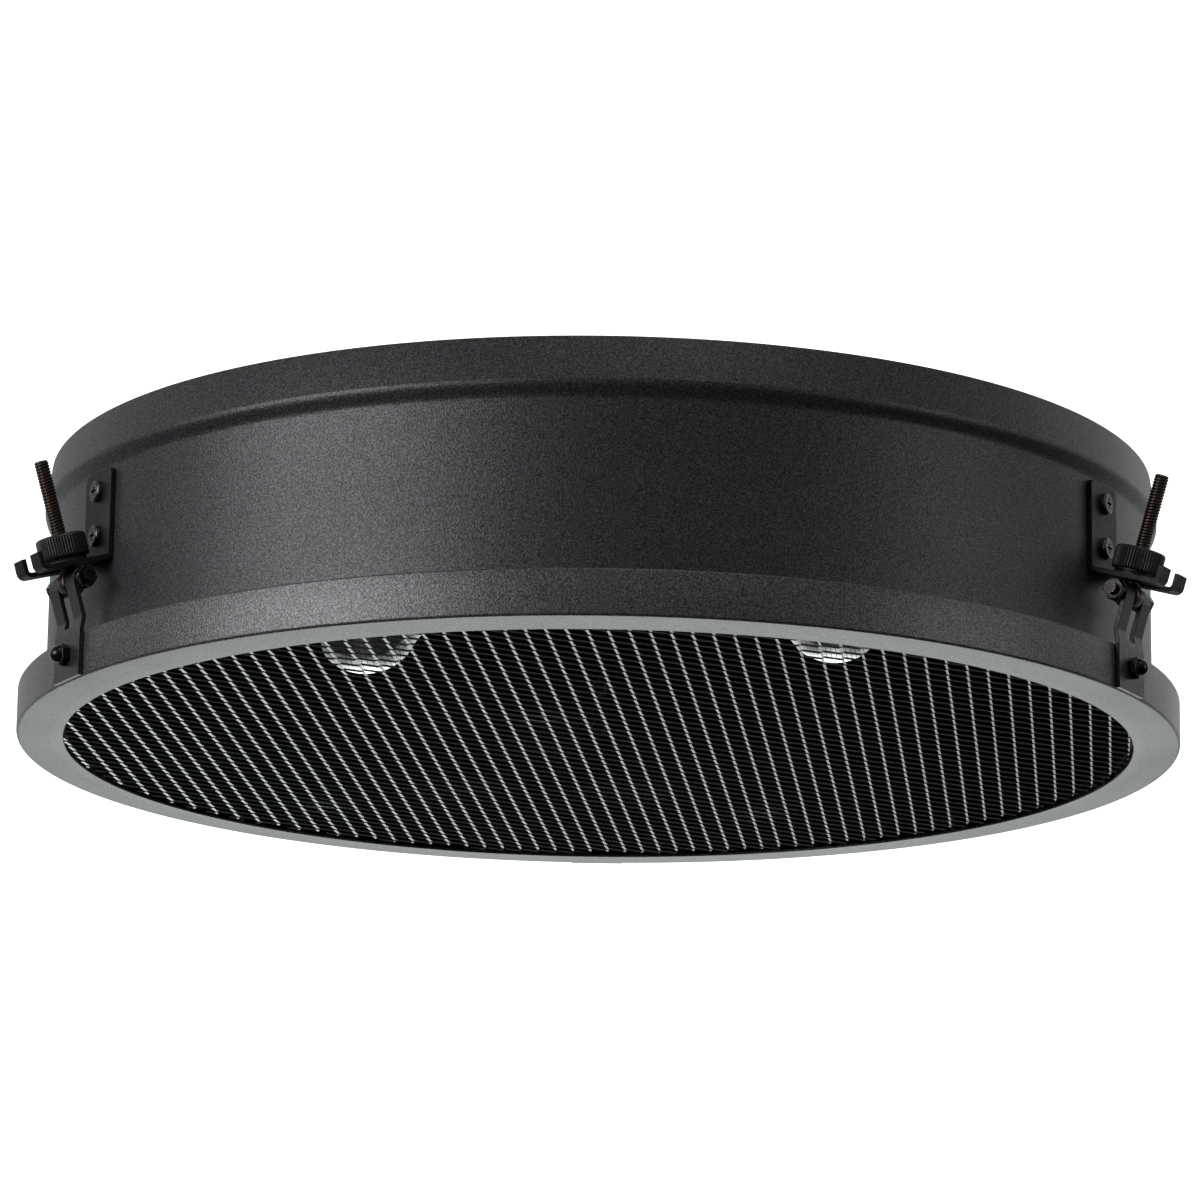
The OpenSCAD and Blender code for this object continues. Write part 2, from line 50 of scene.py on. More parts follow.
UP = Vector((0, 0, 1))

# ---- places taken from the frame ----

RING_LOW, RING_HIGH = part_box("grille_ring")
DRUM_LOW, DRUM_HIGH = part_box("drum_shell")
UNDERSIDE = RING_LOW.z
RING_R = RING_HIGH.x
RING_H = RING_HIGH.z - UNDERSIDE
BAND_R = DRUM_HIGH.x
DRUM_FOOT = DRUM_LOW.z - UNDERSIDE
OVERALL_H = -UNDERSIDE
LIFT = Matrix.Translation((0, 0, UNDERSIDE))
GLOBE_LOW, GLOBE_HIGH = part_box("lamp_globe_1")
GLOBE_R = (GLOBE_HIGH.x - GLOBE_LOW.x) / 2
GLOBE_X = -GLOBE_LOW.y - GLOBE_R
LAMP_Z = (GLOBE_HIGH.z + GLOBE_LOW.z) / 2
JOINTS = {joint["name"]: joint for joint in frame["joints"]}
NODE_SLOTS = {part["node"]: part["material_slot"] for part in frame["record"]["subparts"]}
CLAMPS = (1, 2, 3)

# ---- sizes of what Blender adds, in metres ----

DRUM_R = 238.2 * MM
SHEET_T = 1.5 * MM
BAND_LIP_Z = 97.5 * MM
LEDGE_W = 14 * MM
RING_INNER_R = 230 * MM
RING_CORNER = 1.2 * MM
FLANGE_T = 2.2 * MM
FLANGE_DIP = 0.8 * MM
LIP_T = 1.3 * MM
LIP_ROUND = 0.3 * MM
MESH_R = 230.4 * MM
MESH_MID = 1.25 * MM
STEEP_DIR = math.radians(84.5)
STEEP_PITCH = 8.15 * MM
CROSS_DIR = math.radians(8.4)
CROSS_PITCH = 9.93 * MM
STRAND_W = 1 * MM
STRAND_T = 0.34 * MM
STRAND_TILT = math.radians(-24)
BOND_LENGTH = 0.9 * MM
BOND_STEP = 0.19 * MM
BOND_SPREAD = 0.78
ROD_R = 3 * MM
ROD_FOOT = 3.4 * MM
ROD_LENGTH = 52 * MM
THREAD_PITCH = 1.27 * MM
THREAD_DEPTH = 0.45 * MM
TIP_CHAMFER = 0.8 * MM
EYE_R = 5.5 * MM
EYE_W = 7 * MM
PIN_BORE_R = 2.55 * MM
KNURL_COUNT = 52
KNURL_DEPTH = 0.42 * MM
NUT_R = 10.4 * MM
NUT_BORE_R = 3.03 * MM
COLLAR_T = 1.1 * MM
KNURL_H = 9.7 * MM
NUT_SEAT = 9.24 * MM
GLASS_T = 0.8 * MM
NECK_R = 12.5 * MM
NECK_REACH = 50 * MM
SILVER_FROM = 92 * MM
LAMP_SAG_DEG = (0, -3.2, 5.4)

# ---- mesh helpers ----


def make_piece(name, verts, faces, smooth_deg=30, merge=1e-7):
    """A mesh object from points and faces, welded, faced outward and smooth up to an angle."""
    mesh = bpy.data.meshes.new(name)
    mesh.from_pydata([tuple(v) for v in verts], [], faces)
    work = bmesh.new()
    work.from_mesh(mesh)
    bmesh.ops.remove_doubles(work, verts=work.verts, dist=merge)
    bmesh.ops.dissolve_degenerate(work, edges=work.edges, dist=merge)
    open_edges = [edge for edge in work.edges if edge.is_boundary]
    if open_edges:
        bmesh.ops.holes_fill(work, edges=open_edges, sides=0)
    bmesh.ops.recalc_face_normals(work, faces=work.faces)
    work.to_mesh(mesh)
    work.free()
    mesh.shade_smooth()
    mesh.set_sharp_from_angle(angle=math.radians(smooth_deg))
    piece = bpy.data.objects.new(name, mesh)
    bpy.context.scene.collection.objects.link(piece)
    return piece


def lathe(outline, steps, place=Matrix(), closed=True, shape=None):
    """Points and quads of an outline of (radius, height) turned about the place's own Z axis."""
    verts = []
    for step in range(steps):
        angle = 2 * math.pi * step / steps
        for radius, height in outline:
            r = shape(step, radius) if shape else radius
            verts.append(place @ Vector((r * math.cos(angle), r * math.sin(angle), height)))
    rows = len(outline)
    faces = []
    for step in range(steps):
        after = (step + 1) % steps
        for row in range(rows if closed else rows - 1):
            above = (row + 1) % rows
            faces.append((step * rows + row, after * rows + row, after * rows + above,
                          step * rows + above))
    return verts, faces


def arc(centre, radius, start_deg, end_deg, steps):
    """Points of an arc, both ends included."""
    turn = [math.radians(start_deg + (end_deg - start_deg) * i / steps) for i in range(steps + 1)]
    return [(centre[0] + radius * math.cos(a), centre[1] + radius * math.sin(a)) for a in turn]


def along(direction, origin):
    """A placement whose Z axis points in a direction."""
    return Matrix.Translation(origin) @ direction.to_track_quat("Z", "Y").to_matrix().to_4x4()


def evaluated(piece):
    """Applies a piece's modifiers to its mesh."""
    graph = bpy.context.evaluated_depsgraph_get()
    mesh = bpy.data.meshes.new_from_object(piece.evaluated_get(graph))
    piece.modifiers.clear()
    piece.data = mesh
    return piece


def joined(first, second):
    """One solid from two that overlap; the second is used up."""
    union = first.modifiers.new("Union", "BOOLEAN")
    union.operation = "UNION"
    union.solver = "EXACT"
    union.object = second
    bpy.context.view_layer.update()
    evaluated(first)
    bpy.data.objects.remove(second)
    first.data.shade_smooth()
    first.data.set_sharp_from_angle(angle=math.radians(35))
    return first


# ---- material helpers ----


def new_material(name):
    material = bpy.data.materials.new(name)
    material.use_nodes = True
    tree = material.node_tree
    return material, tree, tree.nodes["Principled BSDF"]


def add_node(tree, kind, **settings):
    node = tree.nodes.new(kind)
    for key, value in settings.items():
        setattr(node, key, value)
    return node


def noise(tree, scale, detail=2.0, stretch=(1, 1, 1)):
    """A noise factor in object space; scale is in features per metre."""
    coords = add_node(tree, "ShaderNodeTexCoord")
    mapping = add_node(tree, "ShaderNodeMapping")
    mapping.inputs["Scale"].default_value = stretch
    tree.links.new(coords.outputs["Object"], mapping.inputs["Vector"])
    texture = add_node(tree, "ShaderNodeTexNoise")
    texture.inputs["Scale"].default_value = scale
    texture.inputs["Detail"].default_value = detail
    tree.links.new(mapping.outputs["Vector"], texture.inputs["Vector"])
    return texture.outputs["Fac"]


def ramp(tree, factor, stops):
    """A colour ramp through (place, colour) stops; a number stands for a grey."""
    node = add_node(tree, "ShaderNodeValToRGB")
    elements = node.color_ramp.elements
    while len(elements) < len(stops):
        elements.new(0.5)
    for element, (place, colour) in zip(elements, stops):
        element.position = place
        grey = isinstance(colour, (int, float))
        element.color = (colour, colour, colour, 1) if grey else (*colour, 1)
    tree.links.new(factor, node.inputs["Fac"])
    return node.outputs["Color"]


def blend_colours(tree, factor, first, second):
    node = add_node(tree, "ShaderNodeMix", data_type="RGBA")
    for socket, value in ((node.inputs[6], first), (node.inputs[7], second)):
        if isinstance(value, bpy.types.NodeSocket):
            tree.links.new(value, socket)
        else:
            socket.default_value = (*value, 1)
    tree.links.new(factor, node.inputs[0])
    return node.outputs[2]


def bump(tree, shader, height, strength, distance):
    node = add_node(tree, "ShaderNodeBump")
    node.inputs["Strength"].default_value = strength
    node.inputs["Distance"].default_value = distance
    tree.links.new(height, node.inputs["Height"])
    tree.links.new(node.outputs["Normal"], shader.inputs["Normal"])


def edge_wear(tree, radius, lowest):
    """1 on worn outside edges and 0 on open faces, from a rounded normal."""
    rounded = add_node(tree, "ShaderNodeBevel", samples=6)
    rounded.inputs["Radius"].default_value = radius
    geometry = add_node(tree, "ShaderNodeNewGeometry")
    dot = add_node(tree, "ShaderNodeVectorMath", operation="DOT_PRODUCT")
    tree.links.new(rounded.outputs["Normal"], dot.inputs[0])
    tree.links.new(geometry.outputs["True Normal"], dot.inputs[1])
    return ramp(tree, dot.outputs["Value"], ((lowest, 1.0), (0.995, 0.0)))


def powder_coat(name, base, grain, rough, gloss):
    """Fine textured black powder coat: a speckled colour, a grainy bump, uneven gloss."""
    material, tree, shader = new_material(name)
    fine = noise(tree, 1500, 2)
    speckle = ramp(tree, fine, ((0.36, tuple(c * (1 - grain) for c in base)),
                                (0.52, base), (0.7, tuple(c * (1 + 2 * grain) for c in base))))
    tree.links.new(speckle, shader.inputs["Base Color"])
    cloud = ramp(tree, noise(tree, 14, 3), ((0.3, rough - 0.03), (0.7, rough + 0.03)))
    tree.links.new(cloud, shader.inputs["Roughness"])
    sparkle = ramp(tree, fine, ((0.36, 0.6 * gloss), (0.5, gloss), (0.64, 1.5 * gloss)))
    tree.links.new(sparkle, shader.inputs["Specular IOR Level"])
    bump(tree, shader, fine, 0.7, 0.0002)
    return material


def worn_metal(name, dark, bright, rough, metallic, mottle=60, wear=0.0003, lowest=0.75,
               spread=1.7, sheen=0.5):
    """Blackened or plated metal: mottled tone, fine scratches, edges rubbed brighter."""
    material, tree, shader = new_material(name)
    patches = ramp(tree, noise(tree, mottle, 4), ((0.3, dark), (0.75, tuple(spread * c for c in dark))))
    edges = edge_wear(tree, wear, lowest)
    colour = blend_colours(tree, edges, patches, bright)
    tree.links.new(colour, shader.inputs["Base Color"])
    gloss = ramp(tree, noise(tree, 600, 3), ((0.3, rough - 0.07), (0.7, rough + 0.07)))
    tree.links.new(gloss, shader.inputs["Roughness"])
    shader.inputs["Metallic"].default_value = metallic
    shader.inputs["Specular IOR Level"].default_value = sheen
    bump(tree, shader, noise(tree, 1400, 2), 0.12, 0.0001)
    return material


def moulded(name, base, rough, grain_scale, sheen=0.0):
    """Plastic, rubber or glazed ceramic: a faint cloud in the colour and a fine surface grain."""
    material, tree, shader = new_material(name)
    cloud = ramp(tree, noise(tree, 25, 3), ((0.3, tuple(c * 0.88 for c in base)), (0.7, base)))
    tree.links.new(cloud, shader.inputs["Base Color"])
    gloss = ramp(tree, noise(tree, 180, 2), ((0.3, rough - 0.04), (0.7, rough + 0.04)))
    tree.links.new(gloss, shader.inputs["Roughness"])
    shader.inputs["Coat Weight"].default_value = sheen
    bump(tree, shader, noise(tree, grain_scale, 2), 0.15, 0.0001)
    return material


def lamp_glass_material():
    """Blown glass, a little uneven, with its bowl silvered beyond a circle round the drum's axis."""
    material, tree, shader = new_material("lamp_glass")
    coords = add_node(tree, "ShaderNodeTexCoord")
    flat = add_node(tree, "ShaderNodeVectorMath", operation="MULTIPLY")
    flat.inputs[1].default_value = (1, 1, 0)
    tree.links.new(coords.outputs["Object"], flat.inputs[0])
    reach = add_node(tree, "ShaderNodeVectorMath", operation="LENGTH")
    tree.links.new(flat.outputs["Vector"], reach.inputs[0])
    silvered = ramp(tree, reach.outputs["Value"], ((SILVER_FROM, 0.0), (SILVER_FROM + 2 * MM, 1.0)))
    tree.links.new(silvered, shader.inputs["Metallic"])
    tint = ramp(tree, noise(tree, 30, 2), ((0.3, (0.93, 0.95, 0.95)), (0.7, (0.98, 0.99, 0.99))))
    tree.links.new(tint, shader.inputs["Base Color"])
    gloss = ramp(tree, noise(tree, 60, 2), ((0.3, 0.0), (0.7, 0.03)))
    tree.links.new(gloss, shader.inputs["Roughness"])
    shader.inputs["Transmission Weight"].default_value = 1
    shader.inputs["IOR"].default_value = 1.52
    bump(tree, shader, noise(tree, 45, 1), 0.04, 0.0005)
    return material


def mesh_steel_material():
    """Thin dark coat on expanded steel, rubbed and slightly uneven."""
    material, tree, shader = new_material("mesh_steel")
    patches = ramp(tree, noise(tree, 220, 3), ((0.3, (0.27, 0.285, 0.28)), (0.7, (0.38, 0.4, 0.39))))
    tree.links.new(patches, shader.inputs["Base Color"])
    gloss = ramp(tree, noise(tree, 700, 2), ((0.3, 0.15), (0.7, 0.24)))
    tree.links.new(gloss, shader.inputs["Roughness"])
    shader.inputs["Metallic"].default_value = 0.85
    bump(tree, shader, noise(tree, 1200, 2), 0.1, 0.0001)
    return material


def make_finishes():
    """One material for each slot of the record, and for the lower brackets a glossier copy of the bracket steel
    whose lighter colours are painted sheen.
    """
    return {
        "drum_paint": powder_coat("drum_paint", (0.017, 0.0158, 0.0185), 0.6, 0.44, 0.42),
        "ring_paint": powder_coat("ring_paint", (0.038, 0.0365, 0.039), 0.6, 0.38, 0.6),
        "zinc_plate": worn_metal("zinc_plate", (0.3, 0.31, 0.32), (0.5, 0.5, 0.5), 0.4, 0.9, 60,
                                 spread=1.15),
        "zinc_fasteners": worn_metal("zinc_fasteners", (0.35, 0.35, 0.35), (0.6, 0.6, 0.6), 0.35, 1),
        "black_rubber": moulded("black_rubber", (0.02, 0.02, 0.02), 0.65, 900),
        "brass_parts": worn_metal("brass_parts", (0.5, 0.36, 0.14), (0.8, 0.62, 0.3), 0.3, 1),
        "terminal_plastic": moulded("terminal_plastic", (0.75, 0.73, 0.66), 0.45, 700),
        "lead_jacket": moulded("lead_jacket", (0.05, 0.05, 0.055), 0.5, 800),
        "holder_ceramic": moulded("holder_ceramic", (0.78, 0.76, 0.7), 0.2, 300, 0.6),
        "lamp_cap_metal": worn_metal("lamp_cap_metal", (0.5, 0.5, 0.49), (0.8, 0.8, 0.8), 0.28, 1),
        "lamp_glass": lamp_glass_material(),
        "filament": moulded("filament", (0.75, 0.6, 0.28), 0.35, 1200),
        "bracket_steel": worn_metal("bracket_steel", (0.006, 0.0056, 0.0052), (0.035, 0.032, 0.029),
                                    0.5, 0.0, sheen=0.22),
        # Lower brackets: real extra gloss, plus colours lighter than the bracket steel's as a painted sheen for
        # the bright backdrop they face.
        "strap_steel_painted_sheen": worn_metal("strap_steel_painted_sheen", (0.01, 0.0098, 0.0092), (0.06, 0.057, 0.052),
                                  0.42, 0.0, sheen=0.45),
        "screw_steel": worn_metal("screw_steel", (0.05, 0.048, 0.045), (0.35, 0.34, 0.31), 0.34,
                                  0.9, 300, 0.0005),
        "mesh_steel": mesh_steel_material(),
        "bronzed_steel": worn_metal("bronzed_steel", (0.015, 0.0135, 0.0125), (0.24, 0.21, 0.19), 0.24,
                                    0.8, 150, 0.0003),
        "thread_steel": worn_metal("thread_steel", (0.04, 0.03, 0.024), (0.22, 0.165, 0.13), 0.36,
                                   0.8, 120, 0.0002, 0.6),
        "nut_black": worn_metal("nut_black", (0.009, 0.009, 0.0095), (0.05, 0.05, 0.05), 0.46, 0.3),
    }


FINISHES = make_finishes()


def finish_nodes():
    """Gives every carried-over CAD node its material."""
    for name, node in frame["nodes"].items():
        # The lower brackets take the glossier copy whose lighter colour is painted sheen.
        finish = "strap_steel_painted_sheen" if name.startswith("lower_bracket_") else NODE_SLOTS[name]
        node.data.materials.clear()
        node.data.materials.append(FINISHES[finish])


def dress(piece, body, node):
    """Rides a new piece on a body in place of a CAD node, in that node's finish."""
    slot = NODE_SLOTS[node]
    piece.data.materials.clear()
    piece.data.materials.append(FINISHES[slot])
    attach(piece, body)
    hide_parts(node)
    return piece


def soften(name, width, segments=2):
    """Rounds the edges of a carried-over CAD node with modifiers alone."""
    node = frame["nodes"][name]
    weld = node.modifiers.new("Weld", "WELD")
    weld.merge_threshold = 1e-5
    bevel = node.modifiers.new("Bevel", "BEVEL")
    bevel.width = width
    bevel.segments = segments
    bevel.limit_method = "ANGLE"
    bevel.angle_limit = math.radians(40)
    bevel.harden_normals = False
    normals = node.modifiers.new("Normals", "WEIGHTED_NORMAL")
    normals.keep_sharp = True


# ---- drum and ring ----


def drum_outline():
    """Section of the spun drum: plain wall, a rolled swell into the top band, ledge for the plate."""
    swell = BAND_R - DRUM_R
    curve = []
    for i in range(13):
        t = i / 12
        ease = t * t * (3 - 2 * t)
        curve.append((DRUM_R + swell * ease, BAND_LIP_Z - 7 * MM + 7 * MM * t))
    top = arc((BAND_R - 3.6 * MM, OVERALL_H - 1.3 * MM), 1.3 * MM, 20, 90, 5)
    lip = arc((BAND_R - 1.5 * MM, BAND_LIP_Z + 0.6 * MM), 1.5 * MM, 0, 25, 3)
    ledge = OVERALL_H - 2 * MM
    inner = DRUM_R - SHEET_T
    return ([(DRUM_R, DRUM_FOOT), (DRUM_R, DRUM_FOOT + 2 * MM), (DRUM_R, BAND_LIP_Z / 2)]
            + curve + lip + top
            + [(inner, OVERALL_H), (inner, ledge), (inner - LEDGE_W, ledge),
               (inner - LEDGE_W, ledge - SHEET_T), (inner, ledge - SHEET_T), (inner, DRUM_FOOT)])


def ring_outline():
    """Section of the ring: wall with a rolled rim, rounded lower corner, slightly dished flange."""
    wall = RING_R - SHEET_T
    rim = arc((RING_R - SHEET_T / 2, RING_H - SHEET_T / 2), SHEET_T / 2, 0, 180, 8)
    fillet = arc((wall - 1 * MM, FLANGE_T + 1 * MM), 1 * MM, 0, -90, 4)
    lip_r = RING_INNER_R + LIP_ROUND
    inner = (arc((lip_r, LIP_T - FLANGE_DIP - LIP_ROUND), LIP_ROUND, 90, 180, 3)
             + arc((lip_r, LIP_ROUND - FLANGE_DIP), LIP_ROUND, 180, 270, 3))
    outer = arc((RING_R - RING_CORNER, RING_CORNER), RING_CORNER, -90, 0, 8)
    span = RING_R - RING_CORNER - lip_r
    flange = [(lip_r + span * t, FLANGE_DIP * (t - 1)) for t in (0.35, 0.7)]
    return rim + fillet + inner + flange + outer + [(RING_R, RING_H / 2)]


def make_drum():
    dress(make_piece("drum", *lathe(drum_outline(), 288, LIFT)), "root", "drum_shell")
    dress(make_piece("ring", *lathe(ring_outline(), 288, LIFT)), "root", "grille_ring")


# ---- expanded mesh ----


def clip_to_circle(path, radius):
    """The runs of a flat path inside a circle, each ending on the circle."""
    runs = []
    run = []
    for a, b in zip(path, path[1:]):
        step = b - a
        qa = step.x ** 2 + step.y ** 2
        qb = 2 * (a.x * step.x + a.y * step.y)
        qc = a.x ** 2 + a.y ** 2 - radius ** 2
        root = qb * qb - 4 * qa * qc
        cuts = []
        if root > 0:
            ends = ((-qb - math.sqrt(root)) / (2 * qa), (-qb + math.sqrt(root)) / (2 * qa))
            cuts = [t for t in ends if 0 < t < 1]
        if qc <= 0 and not run:
            run = [a]
        for t in cuts:
            point = a + step * t
            if run:
                runs.append(run + [point])
                run = []
            else:
                run = [point]
        if run:
            run.append(b)
    if len(run) > 1:
        runs.append(run)
    return [r for r in runs if (r[-1] - r[0]).length > 2 * MM]


def make_mesh_screen():
    """Raised expanded metal: rows of zigzag strands, tilted, that meet side by side at the bonds."""
    across = math.sin(STEEP_DIR - CROSS_DIR)
    steep = Vector((math.cos(STEEP_DIR), math.sin(STEEP_DIR), 0)) * CROSS_PITCH / across
    cross = Vector((math.cos(CROSS_DIR), math.sin(CROSS_DIR), 0)) * STEEP_PITCH / across
    cell = steep + cross
    longways = cell.normalized()
    shortways = UP.cross(longways)
    width = (shortways * math.cos(STRAND_TILT) + UP * math.sin(STRAND_TILT)) * STRAND_W / 2
    thick = (UP * math.cos(STRAND_TILT) - shortways * math.sin(STRAND_TILT)) * STRAND_T / 2
    rows = int(MESH_R / steep.dot(shortways)) + 1
    reach = int(MESH_R / cell.length) + 2
    level = Vector((0, 0, UNDERSIDE + MESH_MID))
    half_bond = longways * BOND_LENGTH / 2
    offset = width * BOND_SPREAD - UP * BOND_STEP
    verts = []
    faces = []
    for row in range(-rows, rows):
        path = []
        middle = -round(row * steep.dot(longways) / cell.length)
        for count in range(middle - reach, middle + reach + 1):
            low_bond = steep * row + cell * count + offset
            up_bond = steep * (row + 1) + cell * count - offset
            path += [low_bond - half_bond, low_bond + half_bond]
            path += [up_bond - half_bond, up_bond + half_bond]
        for run in clip_to_circle(path, MESH_R):
            first = len(verts)
            for point in run:
                centre = point + level
                verts += [centre - width - thick, centre + width - thick,
                          centre + width + thick, centre - width + thick]
            for i in range(len(run) - 1):
                for k in range(4):
                    a = first + 4 * i
                    faces.append((a + k, a + (k + 1) % 4, a + 4 + (k + 1) % 4, a + 4 + k))
            last = first + 4 * (len(run) - 1)
            faces.append((first, first + 3, first + 2, first + 1))
            faces.append((last, last + 1, last + 2, last + 3))
    dress(make_piece("expanded_mesh", verts, faces, 20, 1e-9), "root", "mesh_screen")


# ---- swing bolts and nuts ----


def thread(place, low, high, radius, depth, pitch, steps=28, rows=6):
    """A rod with a real helical thread between two heights, closed at both ends."""
    levels = (0.0, 0.0, 0.0, 0.35, 1.0, 0.35)
    first = -rows
    last = int((high - low) / pitch * rows) + 2 * rows
    count = last - first + 1
    verts = []
    for step in range(steps):
        angle = 2 * math.pi * step / steps
        for j in range(first, last + 1):
            height = low + (j / rows + step / steps) * pitch
            ended = height <= low or height >= high
            cut = 1.0 if ended else levels[j % rows]
            near_tip = max(0.0, 1 - (high - height) / TIP_CHAMFER)
            cut = max(cut, min(1.0, near_tip))
            r = radius - depth * cut
            z = min(max(height, low), high)
            verts.append(place @ Vector((r * math.cos(angle), r * math.sin(angle), z)))
    faces = []
    for step in range(steps):
        shift = rows if step == steps - 1 else 0
        after = (step + 1) % steps
        for j in range(count - 1 - shift):
            a = step * count + j
            b = after * count + j + shift
            faces.append((a, b, b + 1, a + 1))
    return verts, faces


def eye_outline():
    """Section of the bolt's rounded eye about its pin."""
    corner = 1.9 * MM
    half = EYE_W / 2
    return ([(PIN_BORE_R, -half + 0.3 * MM), (PIN_BORE_R + 0.3 * MM, -half)]
            + arc((EYE_R - corner, -half + corner), corner, -90, 0, 6)
            + arc((EYE_R - corner, half - corner), corner, 0, 90, 6)
            + [(PIN_BORE_R + 0.3 * MM, half), (PIN_BORE_R, half - 0.3 * MM)])


def make_swing_bolt(k):
    pivot = Vector(JOINTS[f"bolt_swing_{k}"]["pos_m"])
    pin = Vector(JOINTS[f"bolt_swing_{k}"]["axis"])
    rod = Vector(JOINTS[f"nut_travel_{k}"]["axis"])
    shank = make_piece(f"bolt_{k}", *thread(along(rod, pivot), ROD_FOOT, ROD_LENGTH, ROD_R,
                                            THREAD_DEPTH, THREAD_PITCH), smooth_deg=25, merge=1e-6)
    eye = make_piece(f"eye_{k}", *lathe(eye_outline(), 48, along(pin, pivot)))
    dress(joined(shank, eye), f"swing_bolt_{k}", f"swing_bolt_{k}")


def nut_outline():
    """Section of the knurled nut: collar, knurled drum with rounded rims, dished top and bore."""
    low = COLLAR_T
    high = COLLAR_T + KNURL_H
    collar = NUT_R - 1.6 * MM
    bottom = arc((NUT_R - 0.9 * MM, low + 0.9 * MM), 0.9 * MM, -90, 0, 4)
    top = arc((NUT_R - 1.3 * MM, high - 1.3 * MM), 1.3 * MM, 0, 90, 5)
    return ([(NUT_BORE_R, 0.5 * MM), (NUT_BORE_R + 0.5 * MM, 0), (collar - 0.3 * MM, 0),
             (collar, 0.3 * MM), (collar, low)]
            + bottom + [(NUT_R, low + 3 * MM), (NUT_R, high - 4 * MM)] + top
            + [(NUT_R - 2.4 * MM, high), (NUT_R - 3 * MM, high - 0.25 * MM),
               (NUT_BORE_R + 0.8 * MM, high - 0.25 * MM), (NUT_BORE_R, high - 1 * MM)])


def make_knurled_nut(k):
    pivot = Vector(JOINTS[f"nut_spin_{k}"]["pos_m"])
    rod = Vector(JOINTS[f"nut_spin_{k}"]["axis"])
    samples = 6
    profile = (1.0, 0.35, 0.0, 0.0, 0.0, 0.35)

    def knurl(step, radius):
        full = min(1.0, max(0.0, (radius - (NUT_R - 0.9 * MM)) / (0.7 * MM)))
        return radius - KNURL_DEPTH * full * profile[step % samples]

    place = along(rod, pivot + rod * NUT_SEAT)
    verts, faces = lathe(nut_outline(), KNURL_COUNT * samples, place, shape=knurl)
    dress(make_piece(f"knurled_nut_piece_{k}", verts, faces, 28), f"clamp_nut_{k}",
          f"knurled_nut_{k}")


# ---- lamps ----


def glass_outline():
    """Half section of the glass: a globe that flows into a neck, as one thin closed wall."""
    def wall(inset):
        radius = GLOBE_R - inset
        neck = NECK_R - inset
        globe = [(r, z) for z, r in arc((0, 0), radius, 0, 126, 40)]
        start_r, start_z = globe[-1]
        curve = []
        end_z = -NECK_REACH
        for i in range(1, 15):
            t = i / 14
            flare = (1 - t) ** 2.6
            curve.append((neck + (start_r - neck) * flare, start_z + (end_z - start_z) * t))
        return globe + curve
    return wall(0) + wall(GLASS_T)[::-1]


def make_globe(k):
    low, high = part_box(f"lamp_globe_{k}")
    middle = (low + high) / 2
    outward = Vector((middle.x, middle.y, 0)).normalized()
    neck = outward * (GLOBE_X - NECK_REACH) + Vector((0, 0, LAMP_Z))
    sag = math.radians(LAMP_SAG_DEG[k - 1])
    leaning = outward * math.cos(sag) - UP * math.sin(sag)
    place = along(leaning, neck + leaning * NECK_REACH)
    verts, faces = lathe(glass_outline(), 72, place, closed=False)
    dress(make_piece(f"globe_{k}", verts, faces, 60), "root", f"lamp_globe_{k}")


# ---- stage ----


def make_floor():
    """A plain pale floor, far under the light."""
    half = 30
    drop = -5.0
    mesh = bpy.data.meshes.new("floor")
    corners = [(-half, -half, drop), (half, -half, drop), (half, half, drop), (-half, half, drop)]
    mesh.from_pydata(corners, [], [(0, 1, 2, 3)])
    floor = bpy.data.objects.new("floor", mesh)
    bpy.context.scene.collection.objects.link(floor)
    material, tree, shader = new_material("floor")
    tone = ramp(tree, noise(tree, 2, 2), ((0.3, 0.82), (0.7, 0.86)))
    tree.links.new(tone, shader.inputs["Base Color"])
    tree.links.new(tone, shader.inputs["Emission Color"])
    shader.inputs["Emission Strength"].default_value = 0.45
    shader.inputs["Roughness"].default_value = 0.8
    mesh.materials.append(material)
    floor.visible_glossy = False
    floor.visible_diffuse = False
    floor.visible_transmission = False


def spread_out(tree, component):
    """A direction's component, -1 to 1, as a factor from 0 to 1."""
    node = add_node(tree, "ShaderNodeMapRange")
    node.inputs["From Min"].default_value = -1
    tree.links.new(component, node.inputs["Value"])
    return node.outputs["Result"]


def multiplied(tree, first, second):
    """The product of two colours."""
    node = add_node(tree, "ShaderNodeMix", data_type="RGBA", blend_type="MULTIPLY")
    node.inputs[0].default_value = 1
    tree.links.new(first, node.inputs[6])
    tree.links.new(second, node.inputs[7])
    return node.outputs[2]


def make_world():
    """A studio bright low down behind the light, dim above it and on the camera's side."""
    world = bpy.data.worlds.new("studio")
    bpy.context.scene.world = world
    world.use_nodes = True
    tree = world.node_tree
    background = tree.nodes["Background"]
    coords = add_node(tree, "ShaderNodeTexCoord")
    split = add_node(tree, "ShaderNodeSeparateXYZ")
    tree.links.new(coords.outputs["Generated"], split.inputs["Vector"])
    behind = spread_out(tree, split.outputs["Y"])
    below = ramp(tree, behind, ((0.0, 0.025), (0.63, 0.03), (0.69, 0.3), (0.8, 0.45),
                                (0.95, (1.7, 1.8, 1.76)), (1.0, (0.42, 0.46, 0.44))))
    above = ramp(tree, behind, ((0.0, 0.08), (0.5, 0.1), (0.63, 0.24), (0.8, 0.36), (1.0, 0.43)))
    height = ramp(tree, spread_out(tree, split.outputs["Z"]), ((0.49, 0.0), (0.55, 1.0)))
    side = ramp(tree, spread_out(tree, split.outputs["X"]), ((0.34, 0.25), (0.5, 1.0), (0.66, 0.25)))
    lean = ramp(tree, spread_out(tree, split.outputs["X"]), ((0.0, 0.72), (1.0, 1.15)))
    glow = blend_colours(tree, height, multiplied(tree, below, side), multiplied(tree, above, lean))
    path = add_node(tree, "ShaderNodeLightPath")
    seen = blend_colours(tree, path.outputs["Is Camera Ray"], glow, (0.8, 0.8, 0.8))
    tree.links.new(seen, background.inputs["Color"])
    background.inputs["Strength"].default_value = 2.0


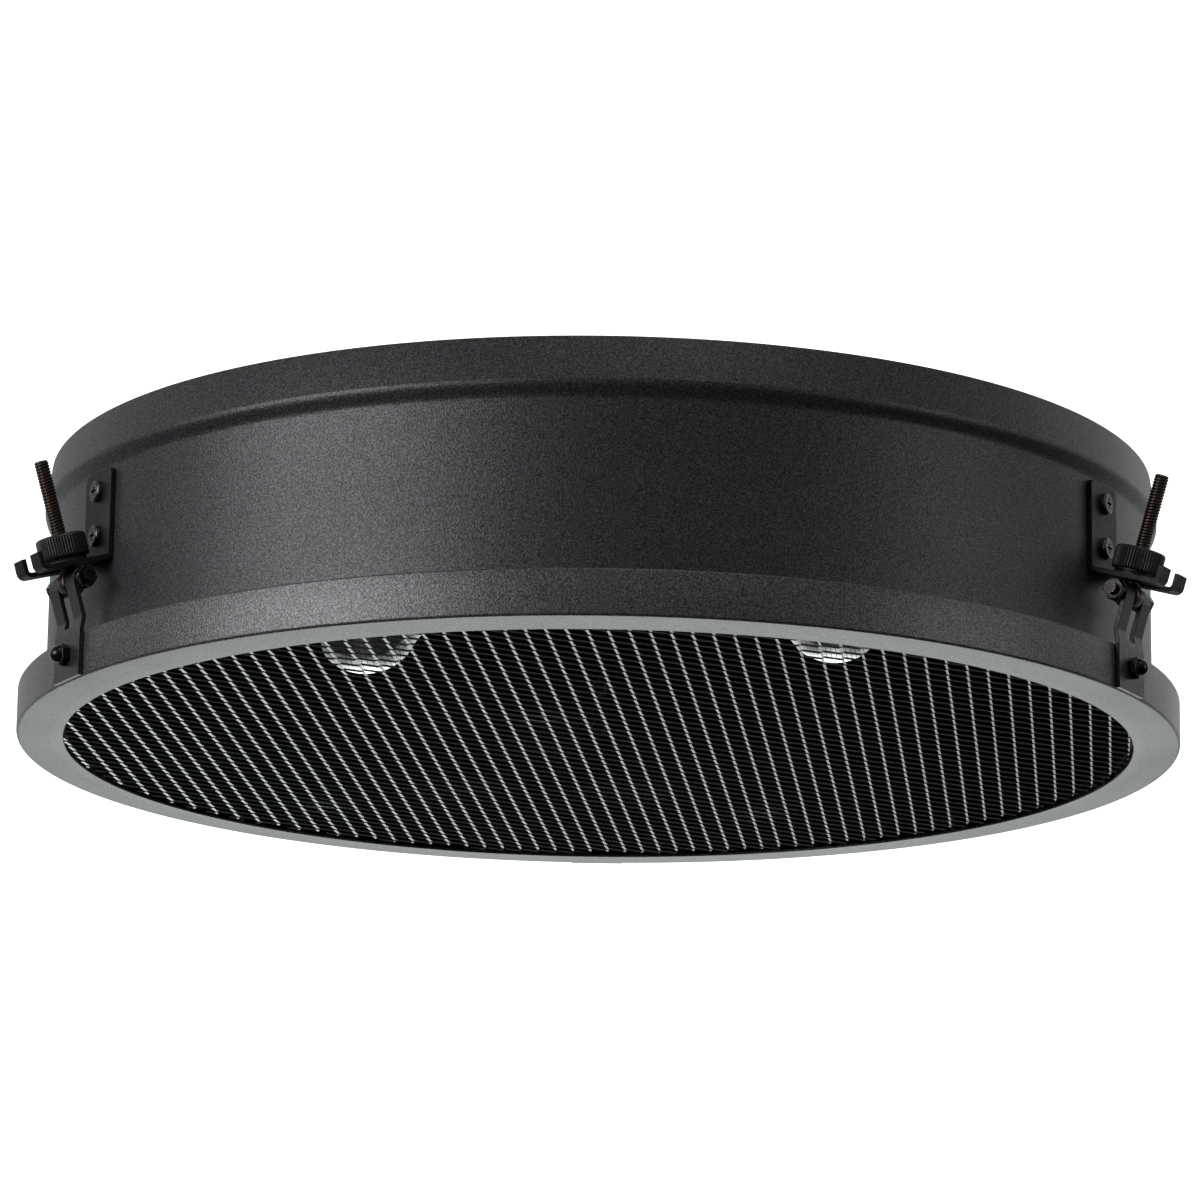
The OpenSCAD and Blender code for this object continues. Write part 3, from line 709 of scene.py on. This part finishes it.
def add_softbox(name, azimuth_deg, height, distance, size, watts):
    """A soft area light that faces the light fitting; azimuth 0 is the camera's side."""
    light = bpy.data.lights.new(name, "AREA")
    light.shape = "RECTANGLE"
    light.size, light.size_y = size
    light.energy = watts
    light.color = (0.985, 0.96, 1.0)
    azimuth = math.radians(azimuth_deg)
    spot = Vector((math.sin(azimuth) * distance, -math.cos(azimuth) * distance, height))
    target = Vector((0, 0, UNDERSIDE / 2))
    lamp = bpy.data.objects.new(name, light)
    lamp.matrix_world = along(spot - target, spot)
    lamp.visible_camera = False
    bpy.context.scene.collection.objects.link(lamp)


def make_camera():
    """A long lens well below the light, looking up a little."""
    distance = 2.27926
    below = 0.49373
    tilt = 0.2415
    roll = -0.0124
    camera = bpy.data.cameras.new("camera")
    camera.lens = 162
    camera.sensor_width = 36
    rig = bpy.data.objects.new("camera", camera)
    forward = Vector((0, math.cos(tilt), math.sin(tilt)))
    right = Vector((1, 0, 0))
    down = forward.cross(right)
    turned_right = math.cos(roll) * right + math.sin(roll) * down
    turned_down = math.cos(roll) * down - math.sin(roll) * right
    axes = Matrix((turned_right, -turned_down, -forward)).transposed()
    rig.matrix_world = Matrix.Translation((0, -distance, UNDERSIDE - below)) @ axes.to_4x4()
    camera.clip_end = 60
    bpy.context.scene.collection.objects.link(rig)
    bpy.context.scene.camera = rig


make_camera()
finish_nodes()
make_drum()
make_mesh_screen()
for clamp in CLAMPS:
    make_swing_bolt(clamp)
    make_knurled_nut(clamp)
    make_globe(clamp)
    soften(f"upper_bracket_{clamp}", 0.35 * MM)
    soften(f"lower_bracket_{clamp}", 0.35 * MM)
    soften(f"nut_washer_{clamp}", 0.25 * MM)
for softened, edge in (("bracket_screws", 0.25), ("cap_nuts", 0.2), ("pivot_pins", 0.2),
                       ("pivot_nuts", 0.2)):
    soften(softened, edge * MM)

make_floor()
make_world()
add_softbox("key", -52, 0.35, 2.4, (1.7, 1.2), 52)
add_softbox("side_fill", 70, 0.2, 2.6, (1.0, 1.4), 10)
add_softbox("top_fill", 20, 2.2, 1.5, (1.6, 1.6), 10)
bpy.context.scene.view_settings.view_transform = "Standard"
bpy.context.scene.view_settings.look = "None"
